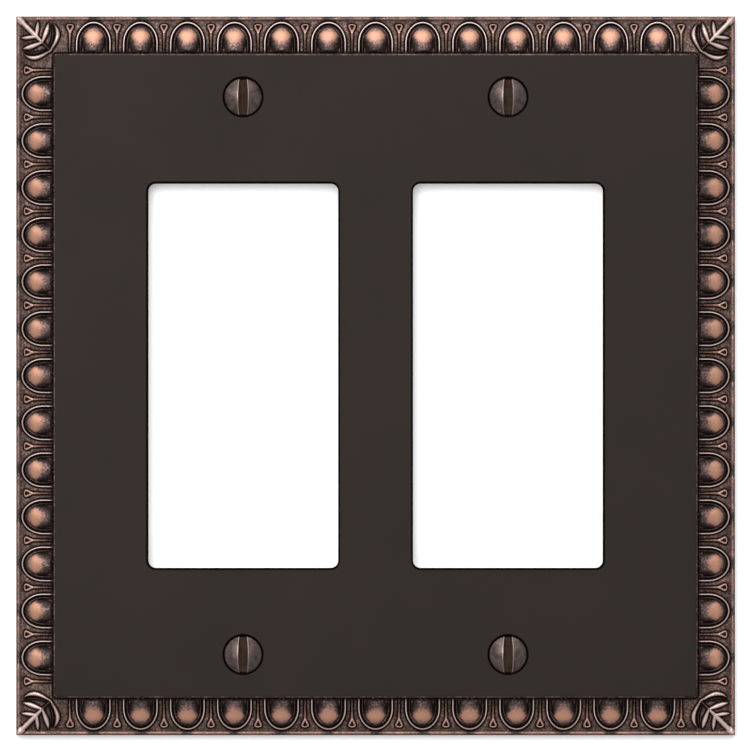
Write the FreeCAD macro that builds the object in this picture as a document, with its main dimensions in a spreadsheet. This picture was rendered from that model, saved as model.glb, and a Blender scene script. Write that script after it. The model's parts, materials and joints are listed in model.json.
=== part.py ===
"""Two-gang decorator wall plate: one cast cover with an egg-and-dart border, and its four oval-head screws.

Units are millimetres. The plate stands upright as it does on a wall: +X to the right, +Z up, and the face
looks along -Y. The origin is the centre of the device pattern in the plane of the wall, so the casting lies
at Y below 0 and the screws' free ends at Y above 0. "Height" below means height above the wall, along -Y,
and "inset" means distance in from the plate's outer edge.
"""

import os
from math import atan2, cos, radians, sin, sqrt, tan

import FreeCAD
import Part
import Sketcher
from FreeCAD import Placement, Rotation, Vector

# name, value, what it is. A length unless it says otherwise.
DIMENSIONS = [
    ("plate_side", 125.0, "outer edge of the square casting"),
    ("field_height", 5.2, "height of the flat field"),
    ("field_thickness", 2.0, "metal under the flat field"),
    ("field_inset", 6.7, "inset of the raised field's edge, and of the hollow's flat roof behind it"),
    ("field_round", 0.25, "rounding of the field's edge"),
    ("lip_width", 0.6, "plain lip round the outside"),
    ("lip_height", 2.5, "height of that lip"),
    ("lip_round", 0.15, "rounding of the lip's outer edge"),
    ("foot_height", 2.2, "height where the sloping border starts"),
    ("slope_start", 0.85, "inset where the border starts to slope"),
    ("slope_end", 6.35, "inset where the slope ends in the groove"),
    ("slope_top", 4.4, "height of the slope's inner end, and of the groove's floor"),
    ("gang_pitch", 46.0, "centre to centre of the two devices"),
    ("opening_width", 33.0, "decorator opening"),
    ("opening_height", 66.8, "decorator opening"),
    ("opening_corner", 1.3, "corner radius of an opening"),
    ("opening_round", 0.3, "rounding of an opening's front edge"),
    ("screw_pitch", 96.8, "between the two screws of one device"),
    ("rim_width", 1.9, "wall rim at the back"),
    ("boss_diameter", 9.0, "screw boss at the back"),
    ("boss_gap", 0.7, "from a boss's end to the wall"),
    ("collar_width", 1.4, "stiffening collar round an opening, at the back"),
    ("collar_gap", 1.9, "from the collar's end to the wall"),
    ("hole_diameter", 4.0, "clearance hole for a number 6 screw"),
    ("countersink_diameter", 7.0, "countersink where it meets the field"),
    ("countersink_angle", 82.0, "degrees, included"),
    ("motif_pitch", 8.17, "egg to egg"),
    ("motif_count", 13.0, "eggs on each side, a number"),
    ("relief_root", 0.3, "how far the relief starts under the slope"),
    ("relief_overrun", 0.25, "how far the relief runs past the slope, where the groove cuts it off"),
    ("egg_radius", 2.3, "an egg is round about its long axis"),
    ("egg_half_length", 3.75, "half of its long axis, along the slope"),
    ("egg_inset", 4.95, "inset of an egg's centre"),
    ("egg_rise", 1.1, "how far an egg stands out of the slope"),
    ("arch_half_width", 3.25, "outside of the arch round an egg"),
    ("arch_half_length", 4.1, "its length from the springing, from the front"),
    ("arch_inset", 5.05, "inset of the arch's springing"),
    ("arch_band", 0.42, "width of the arch's rib"),
    ("arch_rise", 0.55, "how far the arch stands out of the slope"),
    ("dart_stem", 0.36, "width of a dart's stem"),
    ("dart_head", 1.2, "width of a dart's head"),
    ("dart_tip_inset", 1.5, "inset of the head's outer edge"),
    ("dart_barb_inset", 1.75, "inset where the head is widest"),
    ("dart_waist_inset", 2.55, "inset of the middle of the head's flanks"),
    ("dart_waist", 0.78, "width of the head there"),
    ("dart_neck_inset", 3.2, "inset where the head narrows to the stem"),
    ("dart_rise", 0.45, "how far a dart stands out of the slope"),
    ("leaf_rise", 0.5, "how far a corner leaf stands out of the slope"),
    ("stem_width", 0.65, "width of the corner's diagonal stem"),
    ("stem_rise", 0.4, "how far that stem stands out of the mitre"),
    ("screw_head_diameter", 6.4, "oval countersunk head"),
    ("screw_head_edge", 0.14, "straight edge of the head"),
    ("screw_crown", 1.15, "rise of the oval top over that edge"),
    ("screw_seat_gap", 0.05, "clearance between the head and its seat, square to the seat"),
    ("screw_diameter", 3.5, "number 6 screw, over the threads"),
    ("neck_diameter", 3.0, "plain neck under the head, as wide as the thread's pitch diameter"),
    ("neck_end", 4.42, "from the head's edge to where the thread starts, clear of the boss"),
    ("screw_length", 15.875, "from the head's edge to the tip"),
    ("screw_point", 0.5, "chamfer at the tip"),
    ("slot_width", 1.15, "screwdriver slot"),
    ("slot_depth", 1.5, "from the crown"),
]

# Corner leaves on the half of a corner that lies on one side's slope. Each is an outline of two arcs from
# base to tip, through a point on either flank, as (distance from the corner along the side, inset).
CORNER_LEAVES = [
    {"name": "inner_leaf", "base": (3.55, 3.4), "flanks": [(3.42, 2.2), (3.92, 2.2)], "tip": (3.68, 0.98)},
    {"name": "middle_leaf", "base": (4.5, 4.4), "flanks": [(4.62, 2.9), (5.4, 3.1)], "tip": (5.5, 1.15)},
    {"name": "outer_leaf", "base": (6.1, 5.9), "flanks": [(6.8, 3.6), (7.5, 3.7)], "tip": (6.6, 1.5)},
]

# Two places closer than this are the same place.
NEAR = 0.01

doc = FreeCAD.newDocument("decorator_wall_plate")
sheet = doc.addObject("Spreadsheet::Sheet", "Dimensions")
for row, (alias, value, words) in enumerate(DIMENSIONS, start=1):
    sheet.set(f"A{row}", words)
    sheet.set(f"B{row}", str(value))
    sheet.setAlias(f"B{row}", alias)
doc.recompute()

SLOPE = "(Dimensions.slope_top - Dimensions.foot_height) / (Dimensions.slope_end - Dimensions.slope_start)"


def size(alias):
    """The value of a cell, for geometry that is worked out here and not by an expression."""
    return float(sheet.get(alias))


def bind(thing, **expressions):
    """Binds properties to expressions. A bare name is a cell of the sheet."""
    for name, text in expressions.items():
        thing.setExpression(name.replace("__", "."), f"Dimensions.{text}" if text.isidentifier() else text)


def origin_part(body, role):
    """One of a body's own origin planes or axes."""
    return next(f for f in body.Origin.OriginFeatures if f.Role == role)


def face_sketch(body, name, height="0"):
    """A sketch parallel to the wall: x is +X, y is +Z and its normal is -Y. Height is an expression."""
    sketch = body.newObject("Sketcher::SketchObject", name)
    sketch.AttachmentSupport = [(origin_part(body, "XZ_Plane"), "")]
    sketch.MapMode = "FlatFace"
    sketch.setExpression("AttachmentOffset.Base.z", height)
    return sketch


def slope_sketch(body, name, along):
    """A sketch relief_root under the top side's slope: x along the side, y outward and down the slope."""
    sketch = face_sketch(body, name, "Dimensions.foot_height - Dimensions.relief_root")
    on_slope(sketch, along, "Dimensions.slope_start", "Dimensions.foot_height - Dimensions.relief_root")
    return sketch


def on_slope(thing, along, inset, height):
    """Tilts an attached sketch to the top side's slope and places its origin, by expressions."""
    thing.AttachmentOffset = Placement(Vector(), Rotation(Vector(-1, 0, 0), 1))
    thing.setExpression("AttachmentOffset.Base.x", along)
    thing.setExpression("AttachmentOffset.Base.y", f"Dimensions.plate_side / 2 - ({inset})")
    thing.setExpression("AttachmentOffset.Base.z", height)
    thing.setExpression("AttachmentOffset.Rotation.Angle", f"atan({SLOPE})")


def add_box(sketch, name, width, height, centre=("0", "0")):
    """A closed rectangle. Its sizes and its centre are expressions."""
    first, reach = sketch.GeometryCount, size("opening_width")
    points = [Vector(reach * x, reach * y, 0) for x, y in ((-1, -1), (1, -1), (1, 1), (-1, 1))]
    for i in range(4):
        sketch.addGeometry(Part.LineSegment(points[i], points[(i + 1) % 4]))
    for i in range(4):
        sketch.addConstraint(Sketcher.Constraint("Coincident", first + i, 2, first + (i + 1) % 4, 1))
        sketch.addConstraint(Sketcher.Constraint("Horizontal" if i % 2 == 0 else "Vertical", first + i))
    rules = {
        "left": ("DistanceX", first, 1, -reach, f"{centre[0]} - ({width}) / 2"),
        "right": ("DistanceX", first, 2, reach, f"{centre[0]} + ({width}) / 2"),
        "low": ("DistanceY", first, 1, -reach, f"{centre[1]} - ({height}) / 2"),
        "high": ("DistanceY", first + 2, 1, reach, f"{centre[1]} + ({height}) / 2"),
    }
    for side, (kind, line, end, value, text) in rules.items():
        index = sketch.addConstraint(Sketcher.Constraint(kind, -1, 1, line, end, value))
        sketch.renameConstraint(index, f"{name}_{side}")
        sketch.setExpression(f"Constraints.{name}_{side}", text)


def pad(body, name, sketch, length):
    """A pad towards the viewer."""
    feature = body.newObject("PartDesign::Pad", name)
    feature.Profile = sketch
    bind(feature, Length=length)
    return feature


def along_view(feature):
    """Turns a pad on the slope to run square to the wall, the way the casting leaves its mould."""
    feature.UseCustomVector = True
    feature.Direction = Vector(0, -1, 0)
    return feature


def frame_size(inset):
    """Side of the square that lies this far in from the plate's edge, as an expression."""
    return f"Dimensions.plate_side - 2 * ({inset})"


def add_bound_outline(sketch, corners, seed, arc_first=False):
    """A closed outline through corners given as expressions. Its first edge may be an arc."""
    count = len(corners)
    for i in range(count):
        start, end = Vector(*seed[i], 0), Vector(*seed[(i + 1) % count], 0)
        if arc_first and i == 0:
            reach, rise = end.x, end.y - start.y
            centre = Vector(0, start.y + (reach * reach + rise * rise) / (2 * rise), 0)
            circle = Part.Circle(centre, Vector(0, 0, 1), centre.y - start.y)
            sketch.addGeometry(Part.ArcOfCircle(circle, -radians(90), atan2(end.y - centre.y, reach)))
        else:
            sketch.addGeometry(Part.LineSegment(start, end))
    for i, corner in enumerate(corners):
        sketch.addConstraint(Sketcher.Constraint("Coincident", i, 2, (i + 1) % count, 1))
        for kind, text, value in zip(("DistanceX", "DistanceY"), corner, seed[i]):
            rule = sketch.addConstraint(Sketcher.Constraint(kind, -1, 1, i, 1, value))
            sketch.setExpression(f"Constraints[{rule}]", text)
    if arc_first:
        sketch.addConstraint(Sketcher.Constraint("PointOnObject", 0, 3, -2))


def section_sketch(body, name, corners):
    """The top side cut upright: x is +Y and y is +Z. Corners are (height, inset) expressions."""
    sketch = body.newObject("Sketcher::SketchObject", name)
    sketch.AttachmentSupport = [(origin_part(body, "YZ_Plane"), "")]
    sketch.MapMode = "FlatFace"
    turns = [radians(360 * i / len(corners)) for i in range(len(corners))]
    add_bound_outline(sketch, [(f"-({height})", f"Dimensions.plate_side / 2 - ({inset})")
                               for height, inset in corners],
                      [(-2 + 2 * cos(turn), 60 + 2 * sin(turn)) for turn in turns])
    return sketch


def add_circles(sketch, centres, diameter):
    """Circles of one diameter, at centres given as expressions."""
    for x, z in centres:
        index = sketch.addGeometry(Part.Circle(Vector(sketch.GeometryCount, 0, 0), Vector(0, 0, 1), 1.0))
        for kind, text in (("DistanceX", x), ("DistanceY", z)):
            rule = sketch.addConstraint(Sketcher.Constraint(kind, -1, 1, index, 3, 10.0))
            sketch.setExpression(f"Constraints[{rule}]", text)
        rule = sketch.addConstraint(Sketcher.Constraint("Diameter", index, 2.0))
        sketch.setExpression(f"Constraints[{rule}]", f"Dimensions.{diameter}")


def add_outline(sketch, corners, bulges=None):
    """A closed outline through corners. An edge with a bulge is an arc through that point."""
    for i, start in enumerate(corners):
        end = corners[(i + 1) % len(corners)]
        if bulges and i in bulges:
            sketch.addGeometry(Part.Arc(Vector(*start, 0), Vector(*bulges[i], 0), Vector(*end, 0)))
        else:
            sketch.addGeometry(Part.LineSegment(Vector(*start, 0), Vector(*end, 0)))


def pocket(body, name, sketch, length=None, back=False):
    """A cut from the sketch towards the wall, or through everything if no length is given."""
    doc.recompute()
    before = body.Shape.Volume
    feature = body.newObject("PartDesign::Pocket", name)
    feature.Profile = sketch
    if length is None:
        feature.Type = "ThroughAll"
        feature.Midplane = True
    else:
        bind(feature, Length=length)
    feature.Reversed = back
    doc.recompute()
    if body.Shape.Volume > before - NEAR:
        raise RuntimeError(f"{name} cuts nothing")


def repeat_along(body, name, features, count):
    """Repeats features along the side at the motif's pitch."""
    row = body.newObject("PartDesign::LinearPattern", name)
    row.Originals = features
    row.Direction = (origin_part(body, "X_Axis"), [""])
    row.Mode = "Spacing"
    bind(row, Offset="motif_pitch", Occurrences=count)
    row.Refine = False
    body.Tip = row
    doc.recompute()


def plan_to_slope(along, inset):
    """A point of the slope's sketch, from its place along the side and its inset seen from the front."""
    rise = (size("slope_top") - size("foot_height")) / (size("slope_end") - size("slope_start"))
    return along, -(inset - size("slope_start")) * sqrt(1 + rise * rise)


def round_edges(body, name, radius, wanted):
    """Rounds every edge of the body whose two ends and middle are all wanted."""
    base, edges = body.Tip, []
    for number, edge in enumerate(base.Shape.Edges, start=1):
        middle = edge.valueAt((edge.FirstParameter + edge.LastParameter) / 2)
        if all(wanted(point) for point in (middle, *(v.Point for v in edge.Vertexes))):
            edges.append(f"Edge{number}")
    feature = body.newObject("PartDesign::Fillet", name)
    feature.Base = (base, edges)
    bind(feature, Radius=radius)
    doc.recompute()
    return feature


def mitre_sketch(body, name):
    """A sketch upright on the top right corner's mitre: x runs out from the centre, y is the height."""
    sketch = face_sketch(body, name)
    outward, height, aside = Vector(1, 1, 0), Vector(0, 0, 1), Vector(1, -1, 0)
    sketch.AttachmentOffset = Placement(Vector(), Rotation(outward, height, aside, "XYZ"))
    return sketch


def draw_stem(sketch):
    """The stem's long section: it follows the mitre of two slopes, and its foot is under them."""
    rise = (size("slope_top") - size("foot_height")) / (size("slope_end") - size("slope_start"))
    ends = (size("slope_start"), size("slope_end") + size("relief_overrun"))
    corners = []
    for inset, above in ((ends[0], -size("relief_root")), (ends[0], size("stem_rise")),
                         (ends[1], size("stem_rise")), (ends[1], -size("relief_root"))):
        height = size("foot_height") + (inset - size("slope_start")) * rise + above
        corners.append(((size("plate_side") / 2 - inset) * sqrt(2), height))
    add_outline(sketch, corners)


def draw_leaves(sketch):
    """The leaves at both ends of the side."""
    for end in (-1, 1):
        for leaf in CORNER_LEAVES:
            base, left, tip, right = (
                plan_to_slope(end * (size("plate_side") / 2 - along), inset)
                for along, inset in (leaf["base"], leaf["flanks"][0], leaf["tip"], leaf["flanks"][1])
            )
            add_outline(sketch, [base, tip], {0: left, 1: right})


def draw_egg(sketch):
    """Half of an egg's long section, on the right of the sketch's vertical axis."""
    length, radius = size("egg_half_length"), size("egg_radius")
    curve = Part.Ellipse(Vector(0, length, 0), Vector(radius, 0, 0), Vector())
    sketch.addGeometry(Part.ArcOfEllipse(curve, -radians(180), 0))
    sketch.addGeometry(Part.LineSegment(Vector(0, -length, 0), Vector(0, length, 0)))


def draw_arch(sketch):
    """The rib round one egg: two straight legs, and half of an ellipse at their outer end."""
    legs = size("slope_end") + size("relief_overrun")
    rims = []
    for inward in (0.0, size("arch_band")):
        half_width = size("arch_half_width") - inward
        spring = plan_to_slope(0, size("arch_inset"))[1]
        crown = plan_to_slope(0, size("arch_inset") - size("arch_half_length") + inward)[1]
        rims.append((half_width, spring, crown))
    foot = plan_to_slope(0, legs)[1]
    for half_width, spring, crown in rims:
        reach = crown - spring
        if reach > half_width:
            curve = Part.Ellipse(Vector(0, crown, 0), Vector(half_width, spring, 0), Vector(0, spring, 0))
            sketch.addGeometry(Part.ArcOfEllipse(curve, -radians(90), radians(90)))
        else:
            curve = Part.Ellipse(Vector(half_width, spring, 0), Vector(0, crown, 0), Vector(0, spring, 0))
            sketch.addGeometry(Part.ArcOfEllipse(curve, 0, radians(180)))
    (wide, spring, _), (narrow, _, _) = rims
    for side in (-1, 1):
        path = [(side * wide, spring), (side * wide, foot), (side * narrow, foot), (side * narrow, spring)]
        for start, end in zip(path, path[1:]):
            sketch.addGeometry(Part.LineSegment(Vector(*start, 0), Vector(*end, 0)))


def draw_dart(sketch):
    """An arrow head with hollow flanks, pointing inward, and its stem."""
    head, waist, stem = size("dart_head") / 2, size("dart_waist") / 2, size("dart_stem") / 2
    barb, neck = size("dart_barb_inset"), size("dart_neck_inset")
    end = size("slope_end") + size("relief_overrun")
    right = [(head, barb), (stem, neck), (stem, end)]
    left = [(-across, inset) for across, inset in reversed(right)]
    corners = [*left, (0, size("dart_tip_inset")), *right]
    hollows = {i: plan_to_slope(side * waist, size("dart_waist_inset")) for i, side in ((1, -1), (4, 1))}
    add_outline(sketch, [plan_to_slope(*corner) for corner in corners], hollows)


def build_border():
    """The square frame round the field. One mitred side is made with its relief and turned four times."""
    body = doc.addObject("PartDesign::Body", "border")
    first_egg = "-(Dimensions.motif_count - 1) / 2 * Dimensions.motif_pitch"
    first_dart = "-Dimensions.motif_count / 2 * Dimensions.motif_pitch"

    section = section_sketch(body, "section", [
        ("0", "0"),
        ("Dimensions.lip_height", "0"),
        ("Dimensions.lip_height", "Dimensions.lip_width"),
        ("Dimensions.foot_height", "Dimensions.lip_width"),
        ("Dimensions.foot_height", "Dimensions.slope_start"),
        ("Dimensions.slope_top", "Dimensions.slope_end"),
        ("Dimensions.slope_top", "Dimensions.field_inset"),
        ("0", "Dimensions.field_inset"),
    ])
    side = pad(body, "side", section, "plate_side")
    side.Midplane = True
    doc.recompute()
    half, top = size("plate_side") / 2, size("lip_height")
    round_edges(body, "lip_edge", "lip_round", lambda p: abs(p.y + top) < NEAR and abs(p.z - half) < NEAR)

    # corner leaves and the stem along the mitre
    leaves = slope_sketch(body, "leaf_outlines", "0")
    draw_leaves(leaves)
    along_view(pad(body, "leaves", leaves, "Dimensions.relief_root + Dimensions.leaf_rise"))
    ridge = mitre_sketch(body, "stem_section")
    draw_stem(ridge)
    stem = pad(body, "stem", ridge, "stem_width")
    stem.Midplane = True
    doc.recompute()
    twin = body.newObject("PartDesign::Mirrored", "stem_twin")
    twin.Originals = [stem]
    twin.MirrorPlane = (origin_part(body, "YZ_Plane"), [""])
    body.Tip = twin
    waste = face_sketch(body, "mitre_waste")
    for side in (-1, 1):
        inner, outer = side * (half - size("field_inset") - 2), side * (half + 2)
        add_outline(waste, [(inner, abs(inner)), (outer, abs(outer)), (outer, abs(inner))])
    pocket(body, "mitres", waste)

    # an egg in its arch, and a dart
    middle = face_sketch(body, "egg_outline")
    on_slope(middle, first_egg, "Dimensions.egg_inset", "Dimensions.foot_height"
             f" + (Dimensions.egg_inset - Dimensions.slope_start) * {SLOPE}"
             " - Dimensions.egg_radius + Dimensions.egg_rise")
    draw_egg(middle)
    egg = body.newObject("PartDesign::Revolution", "egg")
    egg.Profile = middle
    egg.ReferenceAxis = (middle, ["V_Axis"])
    egg.Angle = 360
    arch = slope_sketch(body, "arch_outline", first_egg)
    draw_arch(arch)
    arch_pad = along_view(pad(body, "arch", arch, "Dimensions.relief_root + Dimensions.arch_rise"))
    doc.recompute()
    repeat_along(body, "eggs", [egg, arch_pad], "motif_count")
    dart = slope_sketch(body, "dart_outline", first_dart)
    draw_dart(dart)
    dart_pad = along_view(pad(body, "dart", dart, "Dimensions.relief_root + Dimensions.dart_rise"))
    doc.recompute()
    repeat_along(body, "darts", [dart_pad], "Dimensions.motif_count + 1")

    # the groove cuts the relief off, the hollow is cut behind it, and the side is turned round the plate
    roof = "Dimensions.field_height - Dimensions.field_thickness"
    past_front, past_field = "Dimensions.field_height * 1.5", "Dimensions.field_inset * 2"
    corners = [
        ("0", "Dimensions.rim_width"),
        (roof, "Dimensions.field_inset"),
        ("Dimensions.slope_top", "Dimensions.field_inset"),
        ("Dimensions.slope_top", "Dimensions.slope_end"),
        (past_front, "Dimensions.slope_end"),
        (past_front, past_field),
        ("0", past_field),
    ]
    hollow = section_sketch(body, "hollow_section", corners)
    pocket(body, "hollow", hollow)
    turn = body.newObject("PartDesign::PolarPattern", "four_sides")
    turn.TransformMode = "Whole shape"
    turn.Axis = (origin_part(body, "Y_Axis"), [""])
    turn.Angle = 360
    turn.Occurrences = 4
    body.Tip = turn
    doc.recompute()
    return body


def build_cover(border):
    """The cover: the field with its openings, screw holes, bosses and collars, and the border round it."""
    body = doc.addObject("PartDesign::Body", "cover_plate")
    field = face_sketch(body, "field_outline", "Dimensions.field_height - Dimensions.field_thickness")
    add_box(field, "edge", frame_size("Dimensions.field_inset"), frame_size("Dimensions.field_inset"))
    pad(body, "field", field, "field_thickness")
    doc.recompute()
    front = size("field_height")
    round_edges(body, "field_edge", "field_round", lambda p: abs(p.y + front) < NEAR)

    # bosses and collars at the back
    across = ["-Dimensions.gang_pitch / 2", "Dimensions.gang_pitch / 2"]
    upright = ["-Dimensions.screw_pitch / 2", "Dimensions.screw_pitch / 2"]
    screw_places = [(x, z) for x in across for z in upright]
    middle = "Dimensions.field_height - Dimensions.field_thickness / 2"
    ends = face_sketch(body, "boss_ends", "Dimensions.boss_gap")
    add_circles(ends, screw_places, "boss_diameter")
    pad(body, "bosses", ends, f"{middle} - Dimensions.boss_gap")
    rims = face_sketch(body, "collar_ends", "Dimensions.collar_gap")
    for name, x in zip(("left", "right"), across):
        add_box(rims, name, "Dimensions.opening_width + 2 * Dimensions.collar_width",
                "Dimensions.opening_height + 2 * Dimensions.collar_width", (x, "0"))
    pad(body, "collars", rims, f"{middle} - Dimensions.collar_gap")

    # the openings
    windows = face_sketch(body, "opening_outlines")
    for name, x in zip(("left", "right"), across):
        add_box(windows, name, "Dimensions.opening_width", "Dimensions.opening_height", (x, "0"))
    pocket(body, "openings", windows)
    half_height, inner = size("opening_height") / 2, (size("gang_pitch") - size("opening_width")) / 2
    outer = inner + size("opening_width")
    round_edges(body, "opening_corners", "opening_corner", lambda p: abs(abs(p.z) - half_height) < NEAR
                and min(abs(abs(p.x) - inner), abs(abs(p.x) - outer)) < NEAR)
    round_edges(body, "opening_edges", "opening_round", lambda p: abs(p.y + front) < NEAR
                and abs(p.z) < half_height + NEAR and inner - NEAR < abs(p.x) < outer + NEAR)

    # the screw holes
    centres = face_sketch(body, "hole_centres", "Dimensions.field_height")
    add_circles(centres, screw_places, "hole_diameter")
    doc.recompute()
    holes = body.newObject("PartDesign::Hole", "screw_holes")
    holes.Profile = centres
    doc.recompute()
    holes.DepthType = "ThroughAll"
    holes.HoleCutType = "Countersink"
    holes.HoleCutCustomValues = True
    bind(holes, Diameter="hole_diameter", HoleCutDiameter="countersink_diameter",
         HoleCutCountersinkAngle="countersink_angle")
    doc.recompute()

    # the border round it
    joined = body.newObject("PartDesign::Boolean", "with_border")
    joined.Type = "Fuse"
    joined.setObjects([border])
    body.Tip = joined
    doc.recompute()
    return body


def build_screw(name, across, upright):
    """One screw. In its own frame the head's front edge is at 0 and the tip points towards +Y."""
    body = doc.addObject("PartDesign::Body", name)
    half_angle = "Dimensions.countersink_angle / 2"
    head, neck, thread = ("Dimensions.screw_head_diameter / 2", "Dimensions.neck_diameter / 2",
                          "Dimensions.screw_diameter / 2")
    corners = [
        ("0", "-Dimensions.screw_crown"),
        (head, "0"),
        (head, "Dimensions.screw_head_edge"),
        (neck, f"Dimensions.screw_head_edge + ({head} - {neck}) / tan({half_angle} * 1deg)"),
        (neck, f"Dimensions.neck_end - ({thread} - {neck})"),
        (thread, "Dimensions.neck_end"),
        (thread, "Dimensions.screw_length - Dimensions.screw_point"),
        (f"{thread} - Dimensions.screw_point", "Dimensions.screw_length"),
        ("0", "Dimensions.screw_length"),
    ]
    reach, thin, wide = size("screw_head_diameter") / 2, size("neck_diameter") / 2, size("screw_diameter") / 2
    edge, length, point = size("screw_head_edge"), size("screw_length"), size("screw_point")
    seed = [(0, -size("screw_crown")), (reach, 0), (reach, edge),
            (thin, edge + (reach - thin) / tan(radians(size("countersink_angle") / 2))),
            (thin, size("neck_end") - (wide - thin)), (wide, size("neck_end")),
            (wide, length - point), (wide - point, length), (0, length)]
    profile = body.newObject("Sketcher::SketchObject", f"{name}_profile")
    profile.AttachmentSupport = [(origin_part(body, "XY_Plane"), "")]
    profile.MapMode = "FlatFace"
    add_bound_outline(profile, corners, seed, arc_first=True)
    turned = body.newObject("PartDesign::Revolution", f"{name}_turned")
    turned.Profile = profile
    turned.ReferenceAxis = (profile, ["V_Axis"])
    turned.Angle = 360
    doc.recompute()

    # the slot stands upright, as the finished job leaves it
    mouth = face_sketch(body, f"{name}_slot_outline", "Dimensions.screw_crown - Dimensions.slot_depth")
    add_box(mouth, "slot", "Dimensions.slot_width", "Dimensions.screw_head_diameter * 1.2")
    pocket(body, f"{name}_slot", mouth, "slot_depth", back=True)

    # the seat's cone and the head's are parallel, screw_seat_gap apart
    cone = "(Dimensions.countersink_diameter - Dimensions.screw_head_diameter) / 2"
    sunk = f"({cone} - Dimensions.screw_seat_gap / cos({half_angle} * 1deg)) / tan({half_angle} * 1deg)"
    bind(body, Placement__Base__x=across, Placement__Base__z=upright,
         Placement__Base__y=f"-(Dimensions.field_height - {sunk} + Dimensions.screw_head_edge)")
    doc.recompute()
    return body


def main():
    parts = [build_cover(build_border())]
    for side, x in (("left", "-Dimensions.gang_pitch / 2"), ("right", "Dimensions.gang_pitch / 2")):
        for end, z in (("top", "Dimensions.screw_pitch / 2"), ("bottom", "-Dimensions.screw_pitch / 2")):
            parts.append(build_screw(f"screw_{end}_{side}", x, z))
    doc.recompute()
    for thing in doc.Objects:
        if {"Invalid", "Error"} & set(thing.State):
            raise RuntimeError(f"{thing.Name} is {thing.State}")
    os.makedirs("parts", exist_ok=True)
    for body in parts:
        shape = body.Shape
        if shape.isNull() or not shape.isValid() or len(shape.Solids) != 1:
            raise RuntimeError(f"{body.Label} is not one valid solid")
        shape.exportStep(f"parts/{body.Label}.step")


main()
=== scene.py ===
"""Looks of a two-gang decorator wall plate: a cast cover with an egg-and-dart border, and its four screws.

Lengths are millimetres until a mesh is made. "Height" is height above the wall, along -Y, and "inset" is the
distance in from the plate's outer edge. Plan points are (x, z), or (along the side, inset) in the border.
"""

import json
import math

import bmesh
import bpy
import numpy as np
from mathutils import Matrix, Vector
from mathutils.geometry import delaunay_2d_cdt

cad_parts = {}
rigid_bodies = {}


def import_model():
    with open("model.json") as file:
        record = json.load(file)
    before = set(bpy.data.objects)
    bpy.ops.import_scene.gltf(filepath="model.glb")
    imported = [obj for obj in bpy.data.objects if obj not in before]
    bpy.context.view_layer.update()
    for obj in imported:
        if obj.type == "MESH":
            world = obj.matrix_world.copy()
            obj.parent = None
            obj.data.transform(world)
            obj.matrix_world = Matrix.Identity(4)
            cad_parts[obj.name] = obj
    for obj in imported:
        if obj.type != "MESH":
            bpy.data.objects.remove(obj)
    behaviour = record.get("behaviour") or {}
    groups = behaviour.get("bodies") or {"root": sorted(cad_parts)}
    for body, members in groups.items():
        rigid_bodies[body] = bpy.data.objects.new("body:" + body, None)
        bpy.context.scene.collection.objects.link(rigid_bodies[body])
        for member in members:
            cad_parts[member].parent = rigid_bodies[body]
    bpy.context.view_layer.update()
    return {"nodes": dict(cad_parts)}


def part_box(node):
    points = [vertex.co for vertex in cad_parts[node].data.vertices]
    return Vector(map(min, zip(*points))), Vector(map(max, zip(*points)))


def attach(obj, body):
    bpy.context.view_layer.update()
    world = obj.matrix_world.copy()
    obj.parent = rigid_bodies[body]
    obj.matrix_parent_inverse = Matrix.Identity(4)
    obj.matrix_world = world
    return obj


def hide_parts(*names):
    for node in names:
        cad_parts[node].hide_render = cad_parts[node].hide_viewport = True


MM = 0.001

# The border's cross-section, as (inset, height): lip, slope, groove and the field's rounded edge.
LIP = [(0.0, 1.75), (0.07, 2.05), (0.16, 2.3), (0.27, 2.45), (0.38, 2.5), (0.49, 2.47), (0.6, 2.36),
       (0.69, 2.23), (0.78, 2.17), (0.88, 2.2)]
FIELD_EDGE = [(6.35, 4.4), (6.43, 4.31), (6.52, 4.31), (6.58, 4.72), (6.63, 4.97), (6.7, 5.11), (6.79, 5.18),
              (6.89, 5.2), (7.02, 5.2)]
SLOPE_START, SLOPE_END = 0.88, 6.35
RELIEF_END = [(6.27, 1.0), (6.42, 0.0)]
SIDE_LINE = 7.02

# The egg is an ellipsoid of revolution whose long axis follows the slope.
PITCH, EGGS = 8.17, 13
EGG_RADIUS, EGG_HALF_LENGTH, EGG_INSET, EGG_RISE = 2.3, 3.75, 4.95, 1.1
SLOPE_RATE, SLOPE_FOOT = 0.4, 2.2

# The arch's curves all spring at one inset. Each is known by its half-width there, with how far it stands out.
# One of them bounds the egg, and the arch cuts a shallow notch into the lip.
SPRING, ARCH_LONGER = 4.7, 0.7
ARCH = [(1.98, 0.0), (2.06, -0.1), (2.15, -0.03), (2.24, 0.17), (2.32, 0.19), (2.42, 0.0), (2.54, -0.16),
        (2.66, -0.04), (2.76, 0.42), (2.85, 0.6), (2.94, 0.6), (3.04, 0.4), (3.12, 0.02), (3.22, -0.09),
        (3.36, -0.05), (3.5, 0.0)]
ARCH_END = 3.6
EGG_OUTLINE = 1.96
NOTCH_HALF_WIDTH, NOTCH_DEPTH, NOTCH_DULL, NOTCH_DARK = 1.3, 0.2, 0.4, 0.2

# Raised strokes, as knots of (along, inset, half-width). The dart's are measured from its own middle line.
DART_STEM = [(0.0, 2.95, 0.22), (0.0, 3.9, 0.2), (0.0, 5.1, 0.16), (0.0, 6.6, 0.15)]
DART_RING = [(0.0, 2.85, 0.19), (0.26, 2.35, 0.19), (0.51, 1.82, 0.18), (0.46, 1.58, 0.15),
             (0.23, 1.49, 0.13), (0.0, 1.46, 0.13)]
DART_RISE, DIMPLE_INSET, DIMPLE_RADIUS, DIMPLE_DEPTH = 0.45, 2.0, 0.22, 0.12

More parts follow.
